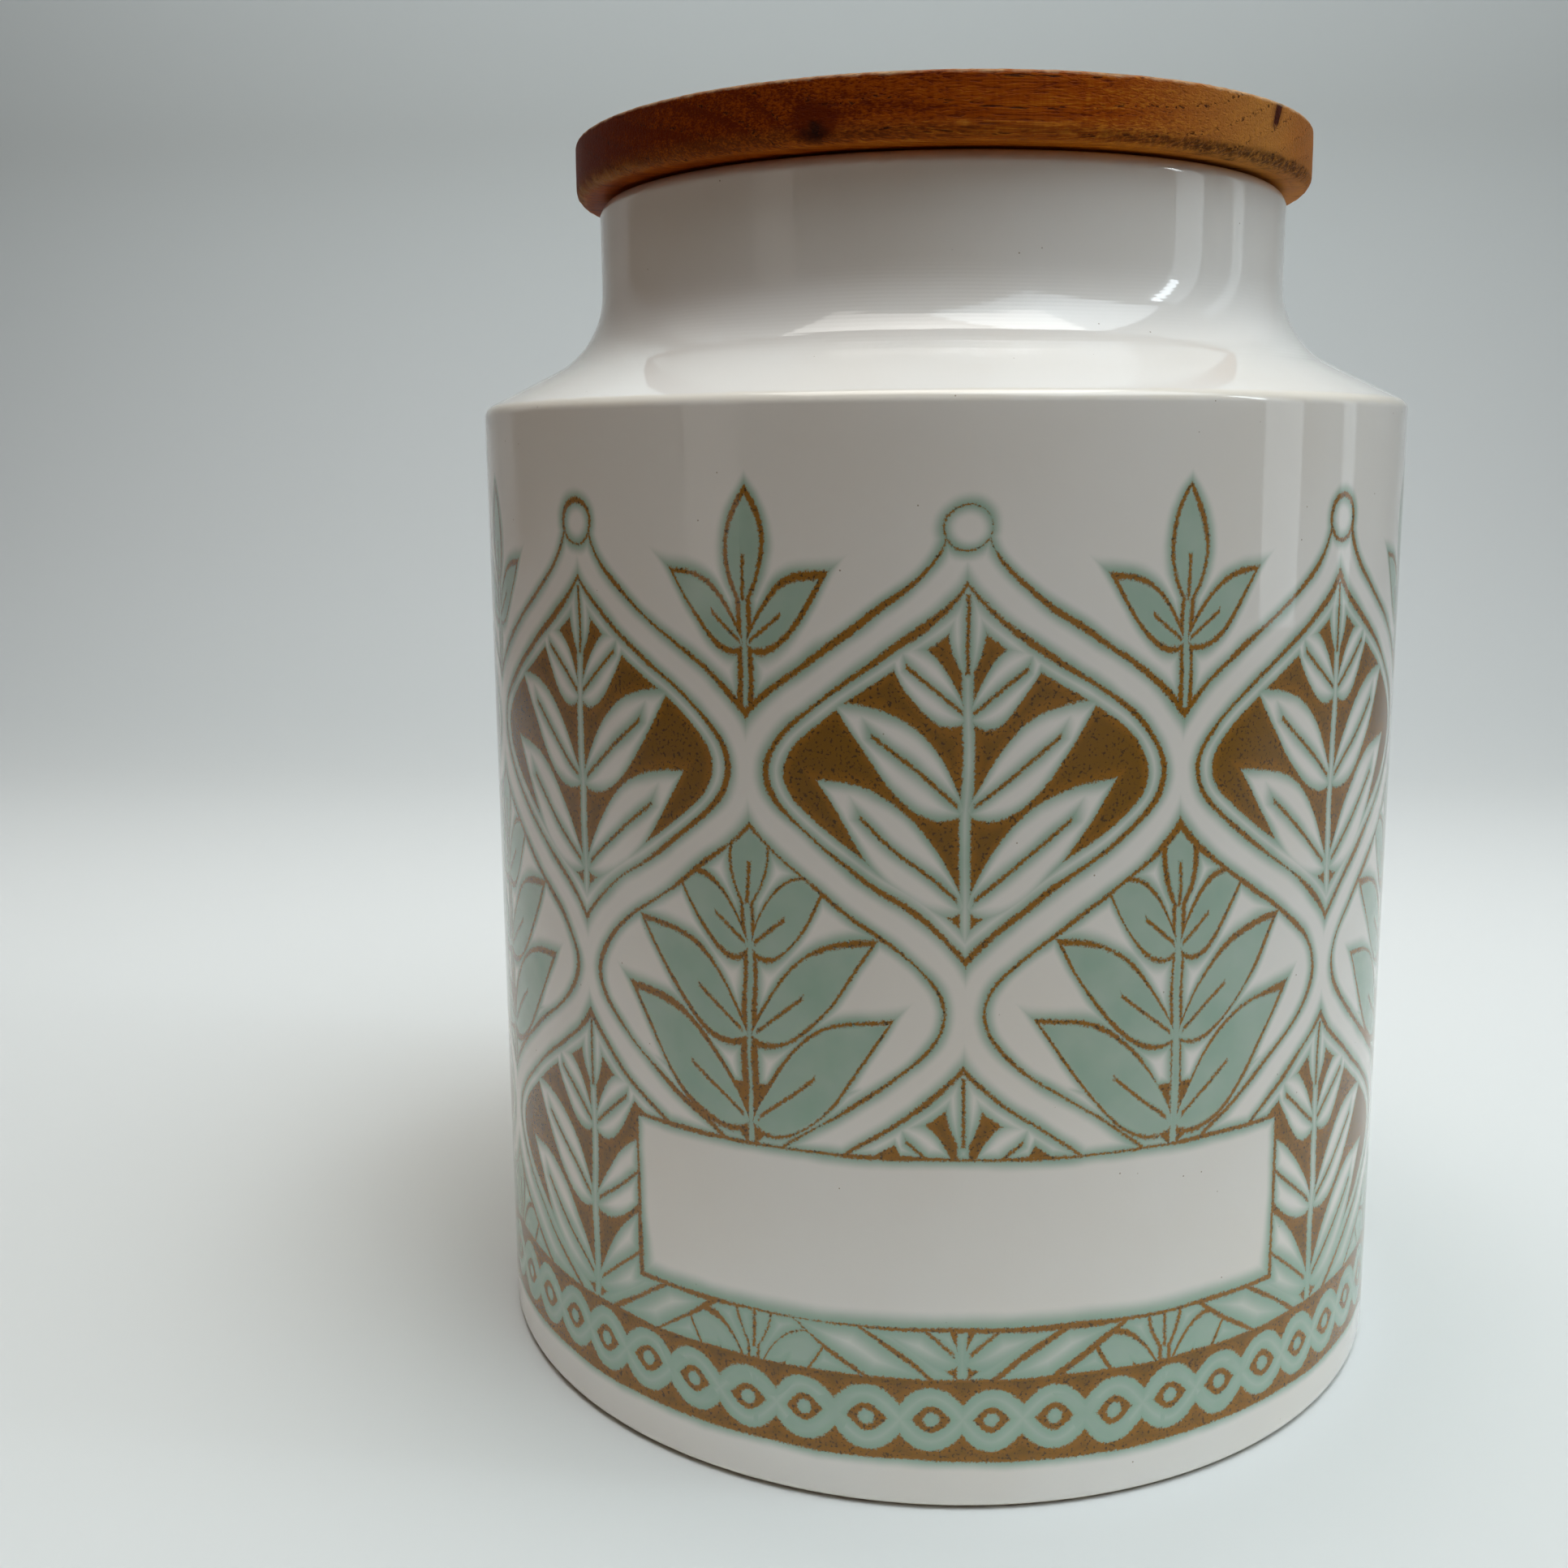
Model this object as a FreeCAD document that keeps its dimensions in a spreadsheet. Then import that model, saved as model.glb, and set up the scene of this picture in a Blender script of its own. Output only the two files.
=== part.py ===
import FreeCAD, Part
import Sketcher
import os
import re

# Food canister: a straight-sided earthenware jar with a sloped shoulder and a
# wide neck, closed by a turned wooden lid whose spigot carries a soft seal.
# Lengths are millimetres and angles are degrees. The jar stands on the plane
# z = 0 and the z axis is its axis of revolution.
DIMENSIONS = [
    ("body_diameter", 155.0, "outside of the straight wall"),
    ("wall_thickness", 5.0, "wall of the body, the shoulder and the neck"),
    ("shoulder_height", 157.0, "height of the edge between wall and shoulder"),
    ("shoulder_slope", 27.0, "slope of the shoulder above the horizontal"),
    ("shoulder_edge_radius", 2.0, "rounding of the edge between wall and shoulder"),
    ("shoulder_inside_radius", 6.0, "rounding inside, under that edge"),
    ("neck_diameter", 115.0, "outside of the neck"),
    ("neck_blend_radius", 15.0, "hollow curve from the neck into the shoulder"),
    ("rim_height", 190.7, "height of the top of the rim"),
    ("rim_radius", 2.3, "rounding of both edges of the rim"),
    ("floor_height", 8.5, "height of the inside of the floor"),
    ("floor_corner_radius", 12.0, "rounding inside, between floor and wall"),
    ("base_edge_radius", 1.8, "rounding of the outer edge at the table"),
    ("foot_recess_diameter", 136.0, "hollow inside the standing ring"),
    ("foot_recess_depth", 1.8, "depth of that hollow"),
    ("foot_recess_radius", 1.2, "rounding of that hollow's edges"),
    ("lid_diameter", 122.5, "outside of the lid board"),
    ("lid_seat_height", 191.0, "height of the underside of the lid board"),
    ("lid_thickness", 9.0, "thickness of the lid board"),
    ("lid_top_edge_radius", 0.8, "rounding of the lid's upper edge"),
    ("lid_bottom_edge_radius", 1.2, "rounding of the lid's lower edge"),
    ("spigot_diameter", 101.0, "turned step that enters the neck"),
    ("spigot_depth", 11.0, "depth of the step below the lid board"),
    ("spigot_lead", 1.5, "bevel round the bottom of the step"),
    ("groove_diameter", 94.0, "bottom of the groove that holds the seal"),
    ("groove_width", 5.0, "height of the groove"),
    ("groove_drop", 2.5, "from the lid board down to the groove"),
    ("seal_gap", 0.15, "room for the seal in its groove"),
    ("seal_core_diameter", 100.6, "outside of the seal between its fins"),
    ("seal_reach_gap", 0.3, "room between the fins and the neck"),
    ("fin_root", 1.2, "thickness of a fin where it leaves the core"),
    ("fin_tip", 0.6, "thickness of a fin at its tip"),
    ("fin_rise", 1.1, "how far a fin slopes up towards its tip"),
    ("fin_pitch", 2.6, "from one fin to the next"),
]

# Expressions that more than one outline uses.
BODY_RADIUS = "body_diameter / 2"
CAVITY_RADIUS = "body_diameter / 2 - wall_thickness"
NECK_RADIUS = "neck_diameter / 2"
BORE_RADIUS = "neck_diameter / 2 - wall_thickness"
SHOULDER_RISE = "tan(shoulder_slope * 1 deg)"
SHOULDER_DROP = "wall_thickness / cos(shoulder_slope * 1 deg)"
NECK_FOOT_HEIGHT = f"shoulder_height + (body_diameter - neck_diameter) / 2 * {SHOULDER_RISE}"
BORE_FOOT_HEIGHT = f"{NECK_FOOT_HEIGHT} + wall_thickness * {SHOULDER_RISE} - {SHOULDER_DROP}"
CAVITY_SHOULDER_HEIGHT = f"shoulder_height + wall_thickness * {SHOULDER_RISE} - {SHOULDER_DROP}"
LID_RADIUS = "lid_diameter / 2"
LID_TOP_HEIGHT = "lid_seat_height + lid_thickness"
SPIGOT_RADIUS = "spigot_diameter / 2"
SPIGOT_HEIGHT = "lid_seat_height - spigot_depth"
GROOVE_TOP = "lid_seat_height - groove_drop"
GROOVE_BOTTOM = f"{GROOVE_TOP} - groove_width"

doc = FreeCAD.newDocument("food_canister")


# Sheet of driving dimensions
def add_dimensions():
    """Puts each driving dimension in a cell of its own, named by its alias."""
    sheet = doc.addObject("Spreadsheet::Sheet", "Dimensions")
    for row, (alias, value, meaning) in enumerate(DIMENSIONS, start=1):
        sheet.set(f"A{row}", meaning)
        sheet.set(f"B{row}", str(value))
        sheet.setAlias(f"B{row}", alias)
    doc.recompute()
    return sheet


def from_sheet(expression):
    """The same expression with every alias looked up in the sheet."""
    return re.sub(r"\b([a-z]+(?:_[a-z]+)+)\b", r"Dimensions.\1", expression)


def measure(expression):
    """The number that an expression on the sheet's aliases comes to."""
    return float(sheet.evalExpression(from_sheet(expression)))


# Features that every turned or moulded piece uses
def add_outline(body, name, corners):
    """Draws a closed outline of straight sides in the body's XZ plane.

    Each corner is a radius and a height, both written as sheet expressions."""
    sketch = body.newObject("Sketcher::SketchObject", name)
    plane = next(item for item in body.Origin.OriginFeatures if item.Role == "XZ_Plane")
    sketch.AttachmentSupport = [(plane, "")]
    sketch.MapMode = "FlatFace"
    points = [FreeCAD.Vector(measure(radius), measure(height), 0) for radius, height in corners]
    ends = points[1:] + points[:1]
    sketch.addGeometry([Part.LineSegment(start, end) for start, end in zip(points, ends)])
    for side in range(len(corners)):
        following = (side + 1) % len(corners)
        sketch.addConstraint(Sketcher.Constraint("Coincident", side, 2, following, 1))
    for side, place in enumerate(corners):
        for kind, expression, axis in zip(("DistanceX", "DistanceY"), place, (-2, -1)):
            bind_corner(sketch, side, kind, expression, axis)
    return sketch


def bind_corner(sketch, side, kind, expression, axis):
    """Holds the first point of a side on an axis, or at a distance from the origin."""
    if expression == "0":
        sketch.addConstraint(Sketcher.Constraint("PointOnObject", side, 1, axis))
        return
    distance = Sketcher.Constraint(kind, -1, 1, side, 1, measure(expression))
    index = sketch.addConstraint(distance)
    sketch.setExpression(f"Constraints[{index}]", from_sheet(expression))


def turn(body, kind, name, corners):
    """Turns an outline a full circle about the z axis, to add or to cut material."""
    before = body.Tip.Shape.Volume if body.Tip else 0
    sketch = add_outline(body, name + "_outline", corners)
    feature = body.newObject(kind, name)
    feature.Profile = sketch
    feature.ReferenceAxis = (sketch, ["V_Axis"])
    feature.Angle = 360
    body.Tip = feature
    doc.recompute()
    change = feature.Shape.Volume - before
    cuts = kind == "PartDesign::Groove"
    if (change < 0) != cuts:
        raise RuntimeError(f"{name} changed the volume by {change:.1f}")


def round_rings(body, name, radius, rings):
    """Rounds circular edges, each found by its own radius and height."""
    base = body.Tip
    found = [ring_edge(base, *ring) for ring in rings]
    fillet = body.newObject("PartDesign::Fillet", name)
    fillet.Base = (base, found)
    fillet.setExpression("Radius", from_sheet(radius))
    body.Tip = fillet
    doc.recompute()


def ring_edge(feature, radius, height):
    """The name of the circular edge with that radius at that height."""
    near = 0.01
    for number, edge in enumerate(feature.Shape.Edges, start=1):
        if not isinstance(edge.Curve, Part.Circle):
            continue
        same_radius = abs(edge.Curve.Radius - measure(radius)) < near
        same_height = abs(edge.Curve.Center.z - measure(height)) < near
        if same_radius and same_height:
            return f"Edge{number}"
    raise ValueError(f"{feature.Name} has no ring of radius {radius} at {height}")


def new_body(label):
    """A body whose label names its file."""
    body = doc.addObject("PartDesign::Body", label)
    body.Label = label
    return body


# Earthenware jar, one fired piece with a standing ring under it
def make_jar():
    body = new_body("jar_body")
    recess_radius = "foot_recess_diameter / 2"
    outside = [
        ("0", "foot_recess_depth"),
        (recess_radius, "foot_recess_depth"),
        (recess_radius, "0"),
        (BODY_RADIUS, "0"),
        (BODY_RADIUS, "shoulder_height"),
        (NECK_RADIUS, NECK_FOOT_HEIGHT),
        (NECK_RADIUS, "rim_height"),
        ("0", "rim_height"),
    ]
    cavity = [
        ("0", "floor_height"),
        (CAVITY_RADIUS, "floor_height"),
        (CAVITY_RADIUS, CAVITY_SHOULDER_HEIGHT),
        (BORE_RADIUS, BORE_FOOT_HEIGHT),
        (BORE_RADIUS, "rim_height"),
        ("0", "rim_height"),
    ]
    turn(body, "PartDesign::Revolution", "jar_outside", outside)
    turn(body, "PartDesign::Groove", "jar_cavity", cavity)
    round_rings(body, "neck_blend", "neck_blend_radius", [(NECK_RADIUS, NECK_FOOT_HEIGHT)])
    bore_blend = "neck_blend_radius + wall_thickness"
    round_rings(body, "bore_blend", bore_blend, [(BORE_RADIUS, BORE_FOOT_HEIGHT)])
    round_rings(body, "shoulder_edge", "shoulder_edge_radius", [(BODY_RADIUS, "shoulder_height")])
    shoulder_inside = [(CAVITY_RADIUS, CAVITY_SHOULDER_HEIGHT)]
    round_rings(body, "shoulder_inside", "shoulder_inside_radius", shoulder_inside)
    round_rings(body, "floor_corner", "floor_corner_radius", [(CAVITY_RADIUS, "floor_height")])
    round_rings(body, "base_edge", "base_edge_radius", [(BODY_RADIUS, "0")])
    foot_edges = [(recess_radius, "0")]
    round_rings(body, "foot_recess_edge", "foot_recess_radius", foot_edges)
    rim_edges = [(NECK_RADIUS, "rim_height"), (BORE_RADIUS, "rim_height")]
    round_rings(body, "rim_edges", "rim_radius", rim_edges)
    return body


# Wooden lid, turned from one board with a grooved spigot under it
def make_lid():
    body = new_body("lid_board")
    outside = [
        ("0", SPIGOT_HEIGHT),
        (f"{SPIGOT_RADIUS} - spigot_lead", SPIGOT_HEIGHT),
        (SPIGOT_RADIUS, f"{SPIGOT_HEIGHT} + spigot_lead"),
        (SPIGOT_RADIUS, "lid_seat_height"),
        (LID_RADIUS, "lid_seat_height"),
        (LID_RADIUS, LID_TOP_HEIGHT),
        ("0", LID_TOP_HEIGHT),
    ]
    groove = [
        ("groove_diameter / 2", GROOVE_BOTTOM),
        (f"{SPIGOT_RADIUS} + groove_width", GROOVE_BOTTOM),
        (f"{SPIGOT_RADIUS} + groove_width", GROOVE_TOP),
        ("groove_diameter / 2", GROOVE_TOP),
    ]
    turn(body, "PartDesign::Revolution", "lid_outside", outside)
    turn(body, "PartDesign::Groove", "seal_groove", groove)
    round_rings(body, "lid_top_edge", "lid_top_edge_radius", [(LID_RADIUS, LID_TOP_HEIGHT)])
    lower_edge = [(LID_RADIUS, "lid_seat_height")]
    round_rings(body, "lid_bottom_edge", "lid_bottom_edge_radius", lower_edge)
    return body


# Soft seal, a moulded ring with two fins that press on the bore of the neck
def make_seal():
    body = new_body("lid_seal")
    inner = "groove_diameter / 2 + seal_gap"
    core = "seal_core_diameter / 2"
    reach = f"{BORE_RADIUS} - seal_reach_gap"
    bottom = f"{GROOVE_BOTTOM} + seal_gap"
    top = f"{GROOVE_TOP} - seal_gap"
    section = [(inner, bottom)]
    for fin in range(2):
        root = f"{bottom} + {fin} * fin_pitch"
        section += [
            (core, root),
            (reach, f"{root} + fin_rise"),
            (reach, f"{root} + fin_rise + fin_tip"),
            (core, f"{root} + fin_root"),
        ]
    section += [(core, top), (inner, top)]
    turn(body, "PartDesign::Revolution", "seal_ring", section)
    return body


# Checks and files
def check_document():
    """Stops if any object failed or any piece is not one valid solid."""
    for item in doc.Objects:
        if "Invalid" in item.State or "Error" in item.State:
            raise RuntimeError(f"{item.Name} failed: {item.State}")
    for piece in pieces:
        shape = piece.Shape
        if shape.isNull() or not shape.isValid() or len(shape.Solids) != 1:
            raise RuntimeError(f"{piece.Label} is not one valid solid")


def write_pieces():
    """Writes each piece to a file named after its label, and prints its size."""
    os.makedirs("parts", exist_ok=True)
    cubic_mm_per_ml = 1000
    for piece in pieces:
        shape = piece.Shape
        shape.exportStep(f"parts/{piece.Label}.step")
        box = shape.optimalBoundingBox()
        volume = shape.Volume / cubic_mm_per_ml
        print(f"{piece.Label}: {volume:.1f} ml, z {box.ZMin:.2f} to {box.ZMax:.2f}, width {box.XLength:.2f}")


sheet = add_dimensions()
pieces = [make_jar(), make_lid(), make_seal()]
doc.recompute()
check_document()
write_pieces()
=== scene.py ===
import math

import bmesh
import bpy
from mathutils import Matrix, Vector


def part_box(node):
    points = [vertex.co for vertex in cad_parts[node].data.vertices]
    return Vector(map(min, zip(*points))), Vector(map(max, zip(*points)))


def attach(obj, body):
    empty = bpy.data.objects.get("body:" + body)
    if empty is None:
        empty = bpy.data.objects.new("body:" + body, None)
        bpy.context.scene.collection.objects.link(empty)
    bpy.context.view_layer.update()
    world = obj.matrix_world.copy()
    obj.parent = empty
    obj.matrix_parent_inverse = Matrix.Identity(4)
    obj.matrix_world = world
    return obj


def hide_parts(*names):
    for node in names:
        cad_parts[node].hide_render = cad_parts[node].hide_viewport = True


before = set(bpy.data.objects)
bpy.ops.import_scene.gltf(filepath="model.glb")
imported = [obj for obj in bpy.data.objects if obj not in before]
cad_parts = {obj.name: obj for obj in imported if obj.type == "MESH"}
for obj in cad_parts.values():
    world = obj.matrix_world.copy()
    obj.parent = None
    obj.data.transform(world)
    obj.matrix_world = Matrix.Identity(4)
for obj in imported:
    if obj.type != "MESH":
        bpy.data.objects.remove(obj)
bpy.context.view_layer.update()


# Camera
# A phone held close to the jar, a little above the middle of its wall and looking slightly down.
# The shift gives back the photograph's off-centre crop.
camera_place = (0.0, -0.28683, 0.14903)
camera_turn = (80.678, 0.345, 4.361)
camera_sensor = 36
camera_lens = 36.87
camera_shift = (-0.01786, -0.0405)

bpy.ops.object.camera_add(location=camera_place, rotation=[math.radians(turn) for turn in camera_turn])
camera = bpy.context.object
camera.data.sensor_width = camera_sensor
camera.data.lens = camera_lens
camera.data.shift_x, camera.data.shift_y = camera_shift
bpy.context.scene.camera = camera
bpy.context.scene.view_settings.view_transform = "Standard"


# Room
# What lies beyond the paper: a plain grey room with a pale ceiling, a little lighter towards its windows at
# the right. Hardly any light comes from it, and that is warm, from the side away from the windows.
room_warm = (0.050, 0.015, 0.0, 1)
room_cool = (0.010, 0.010, 0.010, 1)
cool_way = (0.8, 0.6)
window_way = (0.9, -0.4)
seen_dim = (0.16, 0.148, 0.132, 1)
seen_bright = (0.32, 0.335, 0.335, 1)
seen_ceiling = (0.72, 0.74, 0.74, 1)


class Paint:
    """A shader socket that Python's operators work on. An expression on it adds its Math nodes."""

    def __init__(self, tree, socket):
        self.tree = tree
        self.socket = socket

    def node(self, kind, settings=(), inputs=(), output=0):
        """Adds a node of any type: first its settings, then the values or links of its sockets."""
        added = self.tree.nodes.new("ShaderNode" + kind)
        for name, value in dict(settings).items():
            setattr(added, name, value)
        for name, value in dict(inputs).items():
            if isinstance(value, Paint):
                self.tree.links.new(value.socket, added.inputs[name])
            else:
                added.inputs[name].default_value = value
        return Paint(self.tree, added.outputs[output])

    def math(self, operation, *others):
        return self.node("Math", {"operation": operation}, enumerate((self, *others)))

    def __add__(self, other):
        return self.math("ADD", other)

    def __sub__(self, other):
        return self.math("SUBTRACT", other)

    def __mul__(self, other):
        return self.math("MULTIPLY", other)

    def __truediv__(self, other):
        return self.math("DIVIDE", other)

    def __pow__(self, other):
        return self.math("POWER", other)

    def __lt__(self, other):
        return self.math("LESS_THAN", other)

    def __gt__(self, other):
        return self.math("GREATER_THAN", other)

    def __abs__(self):
        return self.math("ABSOLUTE")

    def __neg__(self):
        return self.math("MULTIPLY", -1)

    def __rsub__(self, other):
        return -self + other

    __radd__ = __add__
    __rmul__ = __mul__

    def least(self, other):
        return self.math("MINIMUM", other)

    def most(self, other):
        return self.math("MAXIMUM", other)

    def root(self):
        return self.math("SQRT")

    def ease(self, low, high):
        """0 at low and 1 at high, with a soft start and end; low may be the larger."""
        inputs = {"Value": self, "From Min": low, "From Max": high}
        return self.node("MapRange", {"interpolation_type": "SMOOTHSTEP"}, inputs)

    def pick(self, here, there):
        """The first value where this mask is 1, and the second where it is 0."""
        return there + self * (here - there)

    def tint(self, under, over):
        """The first colour where this mask is 0, and the second where it is 1."""
        return self.node("Mix", {"data_type": "RGBA"}, {0: self, 6: under, 7: over}, output=2)

    def axes(self):
        """The three coordinates of this place."""
        return [self.node("SeparateXYZ", {}, {0: self}, output=axis) for axis in range(3)]

    def stretched(self, scale):
        """This place with each axis multiplied, for a grain that is longer one way."""
        return self.node("VectorMath", {"operation": "MULTIPLY"}, {0: self, 1: scale})

    def mottle(self, scale, detail=2.0, roughness=0.5):
        """Cloudy noise from 0 to 1 at this place; scale is in clouds per metre."""
        inputs = {"Vector": self, "Scale": scale, "Detail": detail, "Roughness": roughness}
        return self.node("TexNoise", {}, inputs)


def view_of_room(way):
    """What a ray in this direction sees of the room: lighter towards its windows and its ceiling."""
    east, north, rise = way.axes()
    towards_windows = east * window_way[0] + north * window_way[1]
    wall_tone = towards_windows.ease(0.0, 0.8).tint(seen_dim, seen_bright)
    return rise.ease(0.35, 0.70).tint(wall_tone, seen_ceiling)


def ray_that_shows(way):
    """1 for rays that show what they meet: to the camera, in a reflection or through glass."""
    kinds = ("Is Camera Ray", "Is Glossy Ray", "Is Transmission Ray")
    seen, mirrored, through = [way.node("LightPath", output=kind) for kind in kinds]
    return seen.most(mirrored).most(through)


world = bpy.data.worlds.new("room")
world.use_nodes = True
bpy.context.scene.world = world
sky = world.node_tree.nodes["Background"]
way = Paint(world.node_tree, world.node_tree.nodes.new("ShaderNodeTexCoord").outputs["Generated"])
east, north = way.axes()[:2]
room_light = (east * cool_way[0] + north * cool_way[1]).ease(-0.9, 0.7).tint(room_warm, room_cool)
room_colour = ray_that_shows(way).tint(room_light, view_of_room(way))
world.node_tree.links.new(room_colour.socket, sky.inputs["Color"])


# Floor and backdrop
# One sheet of pale matt paper that lies under the jar and sweeps up behind it. It is palest round the jar,
# and greyer further back and where it turns up, which is painted falloff of light; it is darker in front of
# the jar, which is a painted shadow. Light that bounces back onto the jar meets painted light close to the
# jar and painted shade further out, so only the part close to it throws much light back. Past the sheet's
# ends and far from the jar it fades into the room.
sweep_half_width = 4.0
sweep_front = -4.0
sweep_back = 0.80
sweep_height = 1.5
sweep_radius = 0.36
sweep_segments = 32
picking_reach = 0.01
sheet_left = -0.90
sheet_right = 0.50
sheet_lean = 0.9
end_fade = (-0.05, 0.25)
room_fade = (0.6, 1.1)
side_fade = (0.3, 0.7)
front_shadow_fade = (-0.10, -0.28)
far_painted_falloff = (0.15, 0.58)
top_fade = (0.08, 0.42)
bounce_painted_fade = (0.10, 0.36)
paper_front_painted_shadow = (0.38, 0.39, 0.38, 1)
paper_near = (0.69, 0.73, 0.74, 1)
paper_far = (0.49, 0.53, 0.54, 1)
paper_top = (0.575, 0.645, 0.665, 1)
paper_side = (0.33, 0.34, 0.34, 1)
bounce_painted_light = (0.92, 0.94, 0.92, 1)
paper_shade = (0.34, 0.27, 0.20, 1)
black = (0, 0, 0, 1)


def start_editing(piece):
    """Leaves only this piece selected, in edit mode."""
    bpy.ops.object.select_all(action="DESELECT")
    bpy.context.view_layer.objects.active = piece
    piece.select_set(True)
    bpy.ops.object.mode_set(mode="EDIT")


def stop_editing():
    bpy.ops.object.mode_set(mode="OBJECT")


def pick_edges(piece, wanted):
    """Selects the edges whose two ends both pass a test on their place."""
    bpy.ops.mesh.select_all(action="DESELECT")
    bpy.ops.mesh.select_mode(type="EDGE")
    mesh = bmesh.from_edit_mesh(piece.data)
    for edge in mesh.edges:
        if all(wanted(vertex.co) for vertex in edge.verts):
            edge.select_set(True)
    bmesh.update_edit_mesh(piece.data)


def new_finish(name):
    """A new material, and the place on its piece as a Paint."""
    finish = bpy.data.materials.new(name)
    finish.use_nodes = True
    place = finish.node_tree.nodes.new("ShaderNodeTexCoord").outputs["Object"]
    return finish, Paint(finish.node_tree, place)


def lay_on(place, sockets):
    """Sets or links the sockets of the material's surface."""
    shader = place.tree.nodes["Principled BSDF"]
    for name, value in sockets.items():
        if isinstance(value, Paint):
            place.tree.links.new(value.socket, shader.inputs[name])
        else:
            shader.inputs[name].default_value = value


bpy.ops.object.select_all(action="DESELECT")
bpy.ops.mesh.primitive_plane_add(size=2)
backdrop = bpy.context.object
backdrop.name = "backdrop"
start_editing(backdrop)
bpy.ops.transform.resize(value=(sweep_half_width, (sweep_back - sweep_front) / 2, 1))
bpy.ops.transform.translate(value=(0, (sweep_back + sweep_front) / 2, 0))
near_back = sweep_back - picking_reach
pick_edges(backdrop, lambda place: place.y > near_back)
bpy.ops.mesh.extrude_region_move(TRANSFORM_OT_translate={"value": (0, 0, sweep_height)})
pick_edges(backdrop, lambda place: place.y > near_back and place.z < picking_reach)
bpy.ops.mesh.bevel(offset=sweep_radius, segments=sweep_segments, affect="EDGES")
stop_editing()
bpy.ops.object.shade_smooth()

paper, place = new_finish("backdrop_paper")
x, y, z = place.axes()
past_end = (x - sheet_right).most(sheet_left - z * sheet_lean - x)
sheet_end = past_end.ease(*end_fade) * z.ease(0, 0.10)
beyond = abs(x).most(y * -1.5).ease(*room_fade).most(sheet_end)
way = place.node("VectorMath", {"operation": "NORMALIZE"}, {0: place})
far_view = (y.ease(*side_fade) * (1 - sheet_end)).tint(view_of_room(way), paper_side)
# Painted falloff of light: the paper seen is palest near the jar and greyer further back.
sheet_seen_painted = y.ease(*far_painted_falloff).tint(paper_near, paper_far)
sheet_seen_painted = z.ease(*top_fade).tint(sheet_seen_painted, paper_top)
# Painted shadow: the paper seen in front of the jar is darker.
sheet_seen_painted = y.ease(*front_shadow_fade).tint(sheet_seen_painted, paper_front_painted_shadow)
# Painted light and shade for light bounced onto the jar: bright paper close to it, a dark warm painted shade
# further out.
bounce_painted_light_and_shade = (x * x + y * y).root().ease(*bounce_painted_fade).tint(bounce_painted_light, paper_shade)
lay_on(place, {
    "Base Color": beyond.tint(ray_that_shows(place).tint(bounce_painted_light_and_shade, sheet_seen_painted), black),
    "Emission Color": (beyond * ray_that_shows(place)).tint(black, far_view),
    "Emission Strength": 1.0,
    "Roughness": 0.85,
    "Specular IOR Level": 0.2,
})
backdrop.data.materials.append(paper)


# Light
# Two soft panels above, each with a grid over it, so that the shoulder is bright and the wall that faces the
# camera is in soft shade. Windows at both sides give the side light and the reflections, and another panel
# lights the backdrop.
def add_panel(name, place, aim, size, power, colour, beam=180):
    """A rectangular lamp that faces a point and isn't seen itself; its grid leaves the angle beam open."""
    facing = Vector(aim) - Vector(place)
    turn = facing.to_track_quat("-Z", "Y").to_euler()
    bpy.ops.object.light_add(type="AREA", location=place, rotation=turn)
    panel = bpy.context.object
    panel.name = name
    panel.data.shape = "RECTANGLE"
    panel.data.size, panel.data.size_y = size
    panel.data.energy = power
    panel.data.color = colour
    panel.data.spread = math.radians(beam)
    panel.visible_camera = False


jar_middle = (0, 0, 0.1)
warm_white = (1.0, 0.97, 0.91)
plain_white = (1.0, 1.0, 1.0)
cool_white = (0.86, 0.95, 1.0)
add_panel("overhead_panel", (0.0, -0.10, 1.35), (0.0, -0.10, 0), (1.05, 0.8), 2.6, warm_white, beam=80)
add_panel("skylight_panel", (0.50, -0.30, 1.26), jar_middle, (1.0, 0.8), 2.3, cool_white, beam=80)
add_panel("window_panel", (1.15, -0.12, 0.45), jar_middle, (0.26, 1.0), 1.0, cool_white)
add_panel("far_window_panel", (1.05, 0.35, 0.45), jar_middle, (0.12, 0.9), 0.25, cool_white)
add_panel("high_window_panel", (1.02, -0.16, 0.72), jar_middle, (0.07, 0.36), 0.7, cool_white)
add_panel("left_window_panel", (-0.95, -0.75, 0.35), jar_middle, (0.30, 0.7), 0.25, warm_white)
add_panel("backdrop_panel", (-0.10, 0.40, 1.30), (-0.10, 0.85, 0.40), (1.4, 0.3), 5.0, plain_white, beam=100)


# Jar
# White earthenware cast in one piece: a straight wall, a sloped shoulder and a wide neck. It is dipped in
# clear gloss glaze over a printed band, and only the ring it stands on is left bare.
jar_low, jar_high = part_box("jar_body")
body_radius = (jar_high[0] - jar_low[0]) / 2
rim_height = jar_high[2]
wall = 0.005
shoulder_height = 0.157
shoulder_slope = math.tan(math.radians(27))
neck_radius = 0.0575
floor_height = 0.0085
foot_recess_radius = 0.068
foot_recess_depth = 0.0018
recess_rounding = 0.0005
foot_inner_rounding = 0.0012
foot_outer_rounding = 0.0018
shoulder_rounding = 0.0020
neck_flare = 0.0150
rim_rounding = 0.0023
bore_flare = 0.0200
inner_shoulder_rounding = 0.0060
inner_floor_rounding = 0.0120
jar_segments = 288


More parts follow.
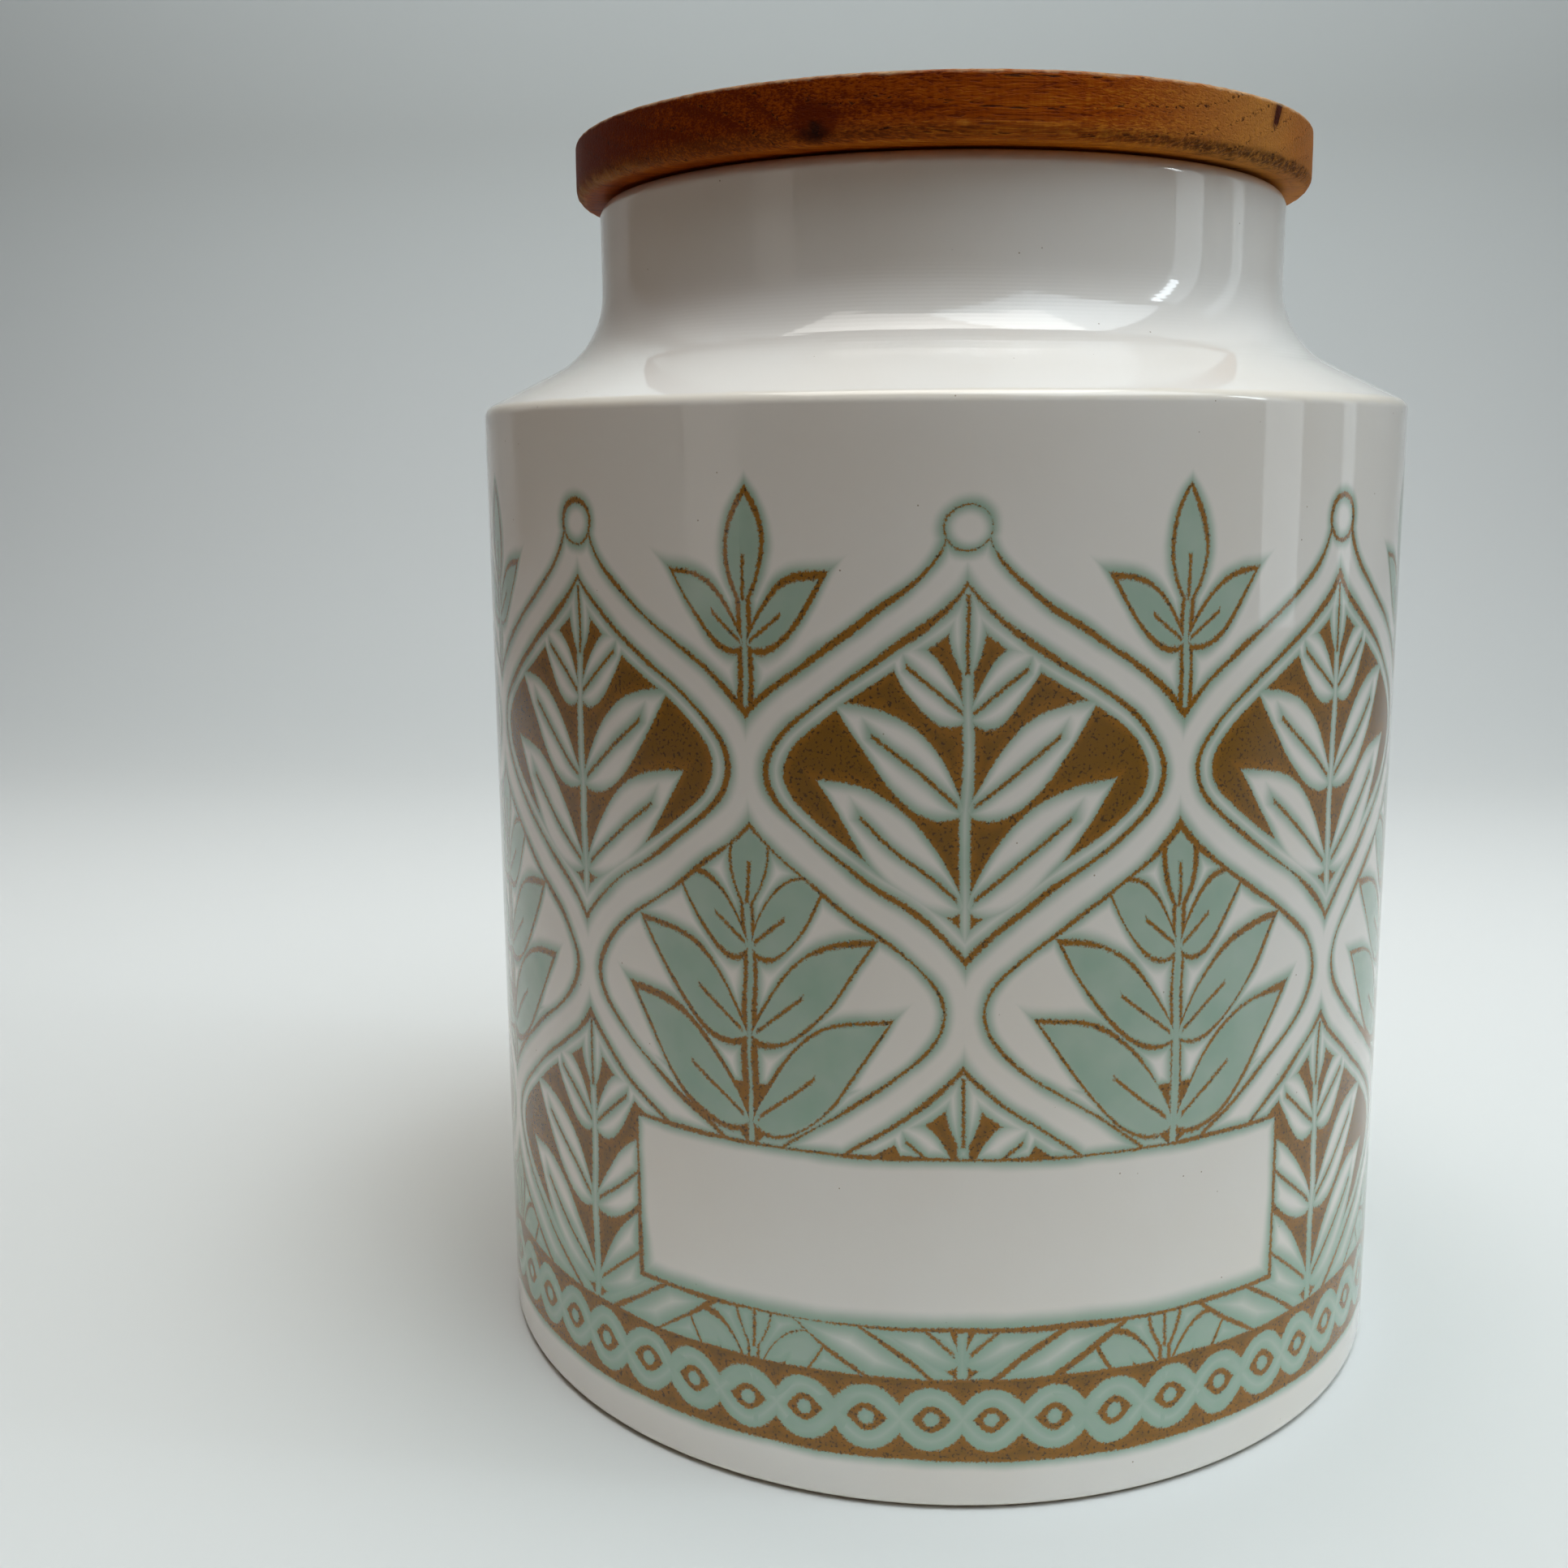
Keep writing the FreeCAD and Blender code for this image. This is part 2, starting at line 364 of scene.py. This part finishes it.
def rounded_outline(corners, step):
    """Points along an outline of (radius, height, rounding) corners, with each rounding as a true arc.

    Straights are split into parts no longer than step, apart from flat discs that reach the axis."""
    arc_length = 0.0002
    places = [Vector((corner[0], corner[1])) for corner in corners]
    points = [places[0]]
    for before, here, after, corner in zip(places, places[1:], places[2:], corners[1:]):
        rounding = corner[2]
        arrive = (here - before).normalized()
        leave = (after - here).normalized()
        bend = arrive.angle_signed(leave)
        inwards = Vector((-arrive.y, arrive.x)) * (1 if bend < 0 else -1)
        start = here - arrive * rounding * math.tan(abs(bend) / 2)
        parts = max(4, min(16, round(abs(bend) * rounding / arc_length)))
        for part in range(parts + 1):
            swing = abs(bend) * part / parts
            points.append(start + (inwards * (1 - math.cos(swing)) + arrive * math.sin(swing)) * rounding)
    points.append(places[-1])
    spread = [points[0]]
    for start, end in zip(points, points[1:]):
        flat_disc = 0 in (start.x, end.x)
        parts = 1 if flat_disc else max(1, math.ceil((end - start).length / step))
        spread += [start.lerp(end, part / parts) for part in range(1, parts + 1)]
    return spread


def turn_on_wheel(name, outline, segments):
    """Draws an outline from a single point and turns it a full circle about the upright axis."""
    merge_distance = 0.000002
    crease = math.radians(35)
    bpy.ops.object.select_all(action="DESELECT")
    bpy.ops.mesh.primitive_plane_add(size=0.01)
    piece = bpy.context.object
    piece.name = name
    start_editing(piece)
    bpy.ops.mesh.select_mode(type="VERT")
    bpy.ops.mesh.select_all(action="SELECT")
    bpy.ops.mesh.merge(type="CENTER")
    bpy.ops.transform.translate(value=(outline[0].x, 0, outline[0].y))
    for here, following in zip(outline, outline[1:]):
        move = (following.x - here.x, 0, following.y - here.y)
        bpy.ops.mesh.extrude_vertices_move(TRANSFORM_OT_translate={"value": move})
    stop_editing()
    wheel = piece.modifiers.new("wheel", "SCREW")
    wheel.axis = "Z"
    wheel.angle = 2 * math.pi
    wheel.steps = wheel.render_steps = segments
    wheel.use_merge_vertices = True
    wheel.merge_threshold = merge_distance
    bpy.ops.object.modifier_apply(modifier="wheel")
    start_editing(piece)
    bpy.ops.mesh.select_all(action="SELECT")
    bpy.ops.mesh.remove_doubles(threshold=merge_distance)
    bpy.ops.mesh.normals_make_consistent(inside=False)
    stop_editing()
    bpy.ops.object.shade_smooth_by_angle(angle=crease)
    return piece


neck_foot = shoulder_height + (body_radius - neck_radius) * shoulder_slope
wall_drop = wall * (math.hypot(1, shoulder_slope) - shoulder_slope)
cavity_radius = body_radius - wall
bore_radius = neck_radius - wall
jar_outline = rounded_outline([
    (0, foot_recess_depth, 0),
    (foot_recess_radius, foot_recess_depth, recess_rounding),
    (foot_recess_radius, 0, foot_inner_rounding),
    (body_radius, 0, foot_outer_rounding),
    (body_radius, shoulder_height, shoulder_rounding),
    (neck_radius, neck_foot, neck_flare),
    (neck_radius, rim_height, rim_rounding),
    (bore_radius, rim_height, rim_rounding),
    (bore_radius, neck_foot - wall_drop, bore_flare),
    (cavity_radius, shoulder_height - wall_drop, inner_shoulder_rounding),
    (cavity_radius, floor_height, inner_floor_rounding),
    (0, floor_height, 0),
], step=0.004)
jar = turn_on_wheel("jar", jar_outline, jar_segments)
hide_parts("jar_body")
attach(jar, "jar")


# Printed band round the jar
# Two inks fired under the glaze: olive brown, and a mint that bleeds out of every brown edge. A leaf sprig
# stands in each cell of an ogee trellis, over a border of two crossing ribbons. A bare panel with a thin
# frame is left for a label.
glaze, place = new_finish("printed_glaze")
mm = 1000
x, y, z = place.axes()
radius = (x * x + y * y).root()
arc = x.math("ARCTAN2", -y) * (body_radius * mm)
height = z * mm
hand = place.node("TexNoise", {}, {"Vector": place, "Scale": 70, "Detail": 1}, output=1).axes()
hand_reach = 1.6
drawn_arc = arc + (hand[0] - 0.5) * hand_reach
drawn_height = height + (hand[2] - 0.5) * hand_reach

band_bottom = 8.0
band_top = shoulder_height * mm - 8
band_depth = 0.0008
columns = 8
column = 2 * math.pi * body_radius * mm / columns
row = 66.0
line = place.mottle(75, detail=1) * 0.9 - 0.11
panel_arc = 4.4
panel_height = 40.5
panel_half_arc = 50.5
panel_half_height = 12.7
panel_hand_reach = 0.7

# Ogee cells, one set on the columns with a brown ground, the other between them with a white one
across = (drawn_arc - panel_arc) / column
offset = abs(across - across.math("ROUND")) * column
rows_up = (drawn_height - band_bottom) / row
on_column = (rows_up.math("FRACT") - 0.5) * row
between = ((rows_up + 0.5).math("FRACT") - 0.5) * row
swing = on_column * (2 * math.pi / row)
half_width = (swing.math("COSINE") + 1) * (column / 4)
steepness = swing.math("SINE") * (column * math.pi / (2 * row))
trellis = (offset - half_width) / (steepness * steepness + 1).root()
brown_cell = trellis < 0
top_cell = (1 - brown_cell) * (rows_up > 1.5)
top_sprig_drop = 24.0
aside = brown_cell.pick(offset, column / 2 - offset)
up = brown_cell.pick(on_column, between) + top_cell * top_sprig_drop

# Leaf sprig: pairs of leaves that slant up from a stem, and one leaf at its tip
leaf_slant = math.radians(40)
leaf_pitch = 13.0
leaf_length = 18.0
leaf_half_width = 4.2
shorter_per_pair = 4.5
slimmer_per_pair = 0.6
mean_leaf_length = 14
stem_middle = -5
stem_half_length = 20
stem_half_width = 0.75
tip_foot = 13
tip_length = 16
tip_half_width = 2.7
rib_half_width = 0.26
rib_start = 0.06
rib_end = brown_cell.pick(0.70, 0.45)
along_stem = up - aside * math.tan(leaf_slant) - stem_middle


def leaf_of(pair):
    """Distances to the edge and to the rib of one pair's leaf in millimetres, below zero inside them."""
    pair = pair.least(1).most(top_cell - 1)
    run = (aside / (leaf_length - pair * shorter_per_pair - pair * pair * 2)).least(1.5)
    widest = (leaf_half_width - pair * slimmer_per_pair) * (1 - top_cell * 0.25)
    from_rib = abs(along_stem - pair * leaf_pitch) * math.cos(leaf_slant)
    edge = from_rib - (run ** 0.8 * math.pi).math("SINE") * widest
    past_rib = (run - rib_end).most(rib_start - run) * mean_leaf_length
    rib = (from_rib - rib_half_width).most(past_rib).most(edge + 0.4)
    return edge, rib


pair_below = (along_stem / leaf_pitch).math("FLOOR")
lower_leaf, lower_rib = leaf_of(pair_below)
upper_leaf, upper_rib = leaf_of(pair_below + 1)
stem = (aside - stem_half_width).most(abs(up - stem_middle) - stem_half_length)
tip_run = ((up - tip_foot) / tip_length).most(-0.5).least(1.5)
tip_leaf = aside - tip_run * (1 - tip_run) * (4 * tip_half_width)
tip_rib = (aside - rib_half_width).most((tip_run - rib_end).most(rib_start - tip_run) * tip_length)
sprig =lower_leaf.least(upper_leaf).least(stem).least(tip_leaf)

# Distance to brown ink in millimetres, below zero inside it
ribbon = 2.7
margin = 2.4
foot_drop = 12
no_ink = 20
from_ribbon = ribbon - abs(trellis)
ground = (-sprig).most(from_ribbon + margin)
outlined = (abs(sprig) - line).most(from_ribbon).least(ground.most(up + foot_drop))
ribs = lower_rib.least(upper_rib).least(tip_rib).most(from_ribbon + line)
above = (rows_up > 2) * no_ink
ink =brown_cell.pick(ground, outlined).least(ribs)
ink = (ink + above * (1 - top_cell)).least(abs(from_ribbon) - line + above)
bud_radius = 3.1
bud_height = band_bottom + 2 * row
bud = (offset * offset + (drawn_height - bud_height) ** 2).root() - bud_radius
ink = ink.most(-bud).least(abs(bud) - line)

# Border at the foot of the band, with a dot in each eye between the ribbons
border_half_height = 6.0
border_waves = 27
border_swing = 3.5
border_ribbon_half_width = 1.4
eye_radius = 1.1
wave_length = body_radius * mm / border_waves
border_height = drawn_height - band_bottom - border_half_height
wave = (drawn_arc - panel_arc) / wave_length
crest = wave.math("SINE") * border_swing
lean = wave.math("COSINE") * (border_swing / wave_length)
to_crest = abs(border_height - crest).least(abs(border_height + crest))
crossing = to_crest / (lean * lean + 1).root() - border_ribbon_half_width
to_eye = wave.math("COSINE").math("ARCSINE") * wave_length
eye = (to_eye * to_eye + border_height * border_height).root() - eye_radius
border =abs(height - band_bottom - border_half_height) - border_half_height
ink = (border < 0).pick((-crossing).most(-eye), ink).least(abs(border) - line)
ink = ink.most(band_bottom - line - height)

panel = (abs(arc - panel_arc) - panel_half_arc).most(abs(height - panel_height) - panel_half_height)
panel = panel + (hand[1] - 0.5) * panel_hand_reach
ink = ink.most(-panel).least(abs(panel) - line)

# Where the inks lie: the mint runs furthest near the foot of the band, fills the leaves on white, and washes
# over the border
mint_spread = 1.7
mint_spread_at_foot = 3
foot_of_band = (40, 18)
on_band = (radius > body_radius - band_depth) * (height < band_top)
grain = place.mottle(2600, detail=2, roughness=0.7)
brown_mask = (ink + (grain - 0.5) * 0.9).ease(0.16, -0.16) * on_band
bleed = place.mottle(160, detail=2)
mint_reach = height.ease(*foot_of_band) * (height > band_bottom) * mint_spread_at_foot + mint_spread
mint_fill = sprig.most(from_ribbon).most(-panel).ease(0.2, -0.5) * (bleed * 0.4 + 0.66)
mint_fill = mint_fill * (1 - brown_cell) * (height > band_bottom)
mint_edge = (ink + (bleed - 0.5) * 0.8).ease(mint_reach, -0.3)
mint_mask = mint_edge.most((border < 0) * 0.7).most(mint_fill) * on_band

# Bare glaze: faintly uneven, cream where it breaks thin over the shoulder's edge, with a few dark pinholes
glaze_white = (0.82, 0.815, 0.79, 1)
glaze_warm = (0.80, 0.775, 0.73, 1)
glaze_cream = (0.77, 0.72, 0.61, 1)
pinhole = (0.26, 0.20, 0.13, 1)
biscuit = (0.60, 0.52, 0.41, 1)
mint = (0.283, 0.440, 0.346, 1)
brown_thick = (0.205, 0.092, 0.001, 1)
brown_thin = (0.290, 0.122, 0.003, 1)
brown_grain = (0.075, 0.036, 0.002, 1)
from_edge = ((radius - body_radius) * mm + 0.7) ** 2 + (height - shoulder_height * mm + 0.2) ** 2
thin_glaze = (from_edge.root() + (bleed - 0.5) * 0.9).ease(1.2, 0.35) * 0.6
holes = place.node("TexVoronoi", {}, {"Vector": place, "Scale": 220}).ease(0.034, 0.020) * 0.8
bare_foot = (height + (grain - 0.5) * 0.4).ease(0.75, 0.45) * (radius > foot_recess_radius - 0.0002)
speckle = place.mottle(2300, detail=1).ease(0.56, 0.70)
pooled = (ink + bleed * 1.6).ease(0.6, -0.9)
coat = place.mottle(22, detail=3).ease(0.35, 0.75).tint(glaze_white, glaze_warm)
coat = thin_glaze.tint(coat, glaze_cream)
coat = holes.tint(coat, pinhole)
coat = mint_mask.tint(coat, mint)
coat = brown_mask.tint(coat, speckle.tint(pooled.tint(brown_thin, brown_thick), brown_grain))
coat = bare_foot.tint(coat, biscuit)

# Faint waves in the glaze, and fine turning marks where the neck flares into the shoulder
waves = place.mottle(38, detail=1)
ridge_pitch = 0.55
ridge_depth = 0.010
ridges_start = (161, 164)
ridges_end = (177, 174)
ridges = (height * (2 * math.pi / ridge_pitch) + waves * 9).math("SINE")
ridges = ridges * height.ease(*ridges_start) * height.ease(*ridges_end) * ridge_depth
glaze_relief = waves + ridges
lay_on(place, {
    "Base Color": coat,
    "Roughness": bare_foot.pick(0.75, place.mottle(90, detail=2) * 0.03 + 0.012),
    "IOR": 1.52,
    "Normal": waves.node("Bump", {}, {"Strength": 0.25, "Distance": 0.0006, "Height": glaze_relief}),
})
jar.data.materials.append(glaze)


# Lid
# One wooden board turned to a disc, with a step under it that enters the neck and a groove in the step for
# the seal. It was oiled once; its upper edge is rubbed pale and has a painted highlight, its lower edge is
# torn and dirty, and painted light lightens its underside.
lid_low, lid_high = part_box("lid_board")
lid_radius = 0.06125
lid_seat = 0.191
lid_top = lid_high[2]
spigot_radius = 0.0505
spigot_bottom = lid_low[2]
spigot_lead = 0.0015
groove_radius = 0.047
groove_low = 0.1835
groove_high = 0.1885
lid_segments = 600
lid_outline = rounded_outline([
    (0, spigot_bottom, 0),
    (spigot_radius - spigot_lead, spigot_bottom, 0.0004),
    (spigot_radius, spigot_bottom + spigot_lead, 0.0004),
    (spigot_radius, groove_low, 0.0002),
    (groove_radius, groove_low, 0.0003),
    (groove_radius, groove_high, 0.0003),
    (spigot_radius, groove_high, 0.0002),
    (spigot_radius, lid_seat, 0.0005),
    (lid_radius, lid_seat, 0.0018),
    (lid_radius, lid_top, 0.0006),
    (0, lid_top, 0),
], step=0.0008)
lid = turn_on_wheel("lid", lid_outline, lid_segments)
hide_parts("lid_board")
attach(lid, "lid")

# Torn wood along the lower edge, deepest over one stretch at the right, and light wear on the upper edge
torn_middle = math.radians(50)
torn_reach = math.radians(20)
torn_depth = 0.0008
torn_grain = 0.0012
edge_reach = 0.0022
lower_wear = 0.35
torn_wear = 0.65
upper_wear = 0.15


def edge_wear(place):
    """How worn the wood is at a place, from 0 to 1."""
    inset = lid_radius - math.hypot(place.x, place.y)
    lower = max(0, 1 - math.hypot(inset, place.z - lid_seat) / edge_reach)
    upper = max(0, 1 - math.hypot(inset, lid_top - place.z) / edge_reach)
    turned = math.atan2(place.x, -place.y) - torn_middle
    torn = math.exp(-(turned / torn_reach) ** 2)
    return lower * (lower_wear + torn_wear * torn) + upper * upper_wear


worn = lid.vertex_groups.new(name="worn_edges")
for vertex in lid.data.vertices:
    wear = edge_wear(vertex.co)
    if wear > 0:
        worn.add([vertex.index], wear, "REPLACE")
tear = bpy.data.textures.new("torn_wood", "CLOUDS")
tear.noise_scale = torn_grain
tear.noise_depth = 3
tear.contrast = 1.8
chip = lid.modifiers.new("chips", "DISPLACE")
chip.texture = tear
chip.texture_coords = "LOCAL"
chip.vertex_group = worn.name
chip.mid_level = 0
chip.strength = -torn_depth
bpy.ops.object.modifier_apply(modifier="chips")

wood, place = new_finish("oiled_wood")
x, y, z = place.axes()
radius = (x * x + y * y).root()
around = x.math("ARCTAN2", -y)
rim_arc = around * (lid_radius * mm)
height = z * mm
board = place.node("Mapping", {}, {"Vector": place, "Rotation": (0, 0, math.radians(-10))})
cloud = place.mottle(420, detail=3, roughness=0.6)

# Knot at the left of the rim, which the grain bends around, and a pin knot at the right
knot_arc = math.radians(-16.0) * lid_radius * mm
knot_height = 193.9
knot_half_length = 4.2
knot_half_height = 3.2
stain_depth = 0.0030
knot_along = (rim_arc - knot_arc) / knot_half_length
knot_up = (height - knot_height) / knot_half_height
knot_place = (knot_along ** 2 + knot_up ** 2).root() + (cloud - 0.5) * 0.6 + (lid_radius - radius) * 250
knot = knot_place.ease(1.10, 0.60)
knot_heart = (knot_place + (height - knot_height + 1.4) * 0.35).ease(0.85, 0.35) * cloud.ease(0.40, 0.52)
pin_arc = math.radians(54) * lid_radius * mm
pin_height = 198
pin_lean = 0.45
pin_taper = (194.0, 198.6)
pin_foot = (195.6, 196.8)
pin_knot = abs(rim_arc - pin_arc - (height - pin_height) * pin_lean + (cloud - 0.5) * 0.7)
pin_knot = pin_knot / (height.ease(*pin_taper) * 0.9 + 0.3)
pin_reach = (height + (cloud - 0.5) * 1.2).ease(*pin_foot) * (radius > lid_radius - stain_depth)
pin_halo = pin_knot.ease(2.2, 0.7) * pin_reach
pin_heart = pin_knot.ease(1.0, 0.6) * pin_reach

# Growth rings about a pith that lay below the board, with fibres, rays and open pores along it
pith_breadth = 0.025
pith_rise = 0.075
ring_width = 0.0036
length, breadth, rise = board.axes()
sway = board.stretched((7, 34, 34)).mottle(1)
ring = ((breadth - pith_breadth) ** 2 + (rise - pith_rise) ** 2).root() + (sway - 0.5) * 0.012
ring = ((ring + knot_place.ease(2.6, 0.4) * 0.0018) / ring_width).math("FRACT")
late_wood = ring.ease(0.45, 0.92) * ring.ease(1.0, 0.95)
fibre = board.stretched((30, 1800, 1800)).mottle(1, detail=3, roughness=0.6)
hair = board.stretched((120, 4600, 4600)).mottle(1, detail=2)
rays = board.stretched((1900, 2600, 240)).mottle(1, detail=1)
pores = board.stretched((300, 2900, 2900)).mottle(1, detail=2).ease(0.57, 0.63)
pores = pores * (ring.ease(0.22, 0.06) * 0.95 + 0.05)
open_grain = board.stretched((520, 3200, 3200)).mottle(1, detail=2).ease(0.52, 0.68)
end_grain = (abs(length) / lid_radius).ease(0.72, 0.98) * (radius > lid_radius - 0.0013)

# Tone of the wood: lighter to the right, lighter under the lid with painted light, darker in late wood, open
# grain and end grain
seat_height = lid_seat * mm
# Painted light: the underside is lightened, as if lit from the white glaze below.
underside_painted_light = height.ease(seat_height + 0.5, seat_height + 0.02)
lower_edge = (lid_radius - radius) * mm + (height - seat_height) + (cloud - 0.5) * 1.6
frayed = lower_edge.ease(3.4, 1.0)
tone = place.mottle(24, detail=2) * 0.4 + fibre * 0.6 + rays * 0.2
tone = tone + hair * (frayed * 0.7 + 0.7) - frayed * 0.3
tone = tone - late_wood * 0.12 - open_grain * 0.16 - end_grain * 0.05 + underside_painted_light * 0.2
right_end = around.ease(0.88, 1.12) * around.ease(2.4, 1.7) * (radius / lid_radius).ease(0.85, 1.0)
tone = tone + length * 5.0 - right_end * 0.25 - 0.465
wood_dark = (0.120, 0.015, 0.0005, 1)
wood_red = (0.320, 0.060, 0.001, 1)
wood_amber = (0.540, 0.175, 0.012, 1)
wood_sallow = (0.500, 0.235, 0.058, 1)
wood_pore = (0.030, 0.009, 0.003, 1)
wood_rubbed_and_highlight = (0.620, 0.420, 0.240, 1)
wood_dirt = (0.028, 0.013, 0.006, 1)
knot_red = (0.105, 0.013, 0.001, 1)
knot_black = (0.010, 0.006, 0.004, 1)

# Grain coloured by its tone, then pale wood along the lower edge at the left end (partly rubbed, partly
# painted light), pores, knots, dirt in the torn stretch, and pale wood along the upper edge, partly rubbed
# and partly a painted highlight
upper_edge = (lid_radius - radius) * mm + (lid_top - z) * mm + (cloud - 0.5) * 0.8
crumb = place.mottle(1500, detail=3, roughness=0.7)
dirt_height = seat_height + 0.75
dirt_start = (math.radians(8), math.radians(40))
dirt_end = (math.radians(78), math.radians(66))
torn_stretch = around.ease(*dirt_start) * around.ease(*dirt_end)
dirt = (abs(height - dirt_height) + (cloud - 0.5) * 1.5).ease(1.15, 0.2)
dirt = dirt * (torn_stretch * 0.70 + 0.1) * crumb.ease(0.30, 0.60) * (radius > lid_radius - stain_depth)
grained = tone.ease(0.10, 0.50).tint(wood_dark, wood_red)
grained = tone.ease(0.46, 0.86).tint(grained, wood_amber)
grained = (length.ease(0.010, 0.045) * (0.75 - right_end * 0.3)).tint(grained, wood_sallow)
# Paler lower edge at the left end: partly rubbed wood, partly painted light on the rounded edge.
left_end_wear_and_painted_light = around.ease(-0.55, -1.0) * around.ease(-2.4, -1.7)
grained = (lower_edge.ease(1.8, 0.6) * left_end_wear_and_painted_light * 0.5 + frayed * 0.12).tint(grained, wood_sallow)
grained = (pores * 0.85).tint(grained, wood_pore)
grained = (knot * 0.85).tint(grained, knot_red)
grained = knot_heart.most(pin_heart).tint(grained, knot_black)
grained = (pin_halo * 0.45).tint(grained, knot_red)
grained = dirt.tint(grained, wood_dirt)
# Pale upper edge: partly rubbed wood, partly a painted highlight.
grained = (upper_edge.ease(0.75, 0.2) * 0.8).tint(grained, wood_rubbed_and_highlight)
relief = fibre * 0.4 + hair * (frayed * 0.5 + 0.5) + rays * 0.15 + cloud * 0.25
relief = relief - pores * 1.2 - open_grain * 0.35 - dirt * 0.6 - knot_heart - pin_heart
lay_on(place, {
    "Base Color": grained,
    "Roughness": tone * 0.12 + 0.46,
    "Specular IOR Level": 0.03,
    "Normal": relief.node("Bump", {}, {"Strength": 0.75, "Distance": 0.00028, "Height": relief}),
})
lid.data.materials.append(wood)


# Seal
# A soft milky plastic ring moulded with two fins, stretched over the lid's step into its groove. The fins
# press on the bore of the neck and hold the lid.
seal_low, seal_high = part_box("lid_seal")
seal_reach = (seal_high[0] - seal_low[0]) / 2
seal_play = 0.00015
seal_inner = groove_radius + seal_play
seal_core = 0.0503
fins = 2
fin_root = 0.0012
fin_tip = 0.0006
fin_rise = 0.0011
fin_pitch = 0.0026
fin_rounding = 0.0002
seal_corners = [(seal_inner, seal_low[2], 0)]
for fin in range(fins):
    fin_foot = seal_low[2] + fin * fin_pitch
    seal_corners += [
        (seal_core, fin_foot, fin_rounding),
        (seal_reach, fin_foot + fin_rise, fin_rounding),
        (seal_reach, fin_foot + fin_rise + fin_tip, fin_rounding),
        (seal_core, fin_foot + fin_root, fin_rounding),
    ]
seal_corners += [
    (seal_core, seal_high[2], fin_rounding),
    (seal_inner, seal_high[2], fin_rounding),
    (seal_inner, seal_low[2], 0),
]
seal_segments = 240
seal = turn_on_wheel("seal", rounded_outline(seal_corners, step=0.0015), seal_segments)
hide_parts("lid_seal")
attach(seal, "seal")

soft_plastic, place = new_finish("milky_plastic")
cloud = place.mottle(120, detail=2)
plastic_yellowed = (0.74, 0.72, 0.62, 1)
plastic_milky = (0.82, 0.80, 0.72, 1)
lay_on(place, {
    "Base Color": cloud.tint(plastic_yellowed, plastic_milky),
    "Roughness": cloud * 0.15 + 0.38,
})
seal.data.materials.append(soft_plastic)
